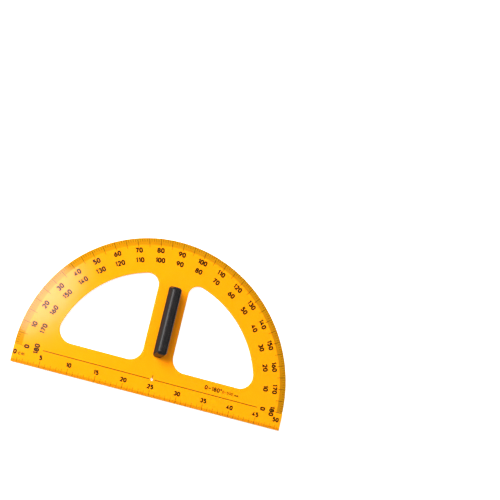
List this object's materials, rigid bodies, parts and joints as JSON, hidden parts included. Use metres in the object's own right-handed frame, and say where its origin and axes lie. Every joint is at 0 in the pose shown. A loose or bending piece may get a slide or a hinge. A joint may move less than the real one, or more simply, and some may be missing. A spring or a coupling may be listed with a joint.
{
  "type": "demonstration protractor",
  "caption": "Classroom board protractor: translucent half-disc plate with bevelled degree edge, rule strip, two windows and a black grip on its strut.",
  "frame": {"origin": "centre of the degree scale, on the axis of the centre hole, at the plate's back face", "axes": "+X along the rule from its 0 to its 50, +Y from the baseline towards the top of the arc, +Z out of the printed face"},
  "size_m": [0.5, 0.281, 0.032],
  "materials": {
    "tinted_plastic": "polished translucent yellow-orange moulding",
    "black_plastic": "glossy black moulding",
    "screw_steel": "zinc-plated steel",
    "scale_ink": "dark brown printed ink, on the scale pieces that stand on the plate"
  },
  "bodies": {
    "root": {"plate": "tinted_plastic", "handle": "black_plastic", "screw_lower": "screw_steel", "screw_upper": "screw_steel"}
  },
  "joints": []
}
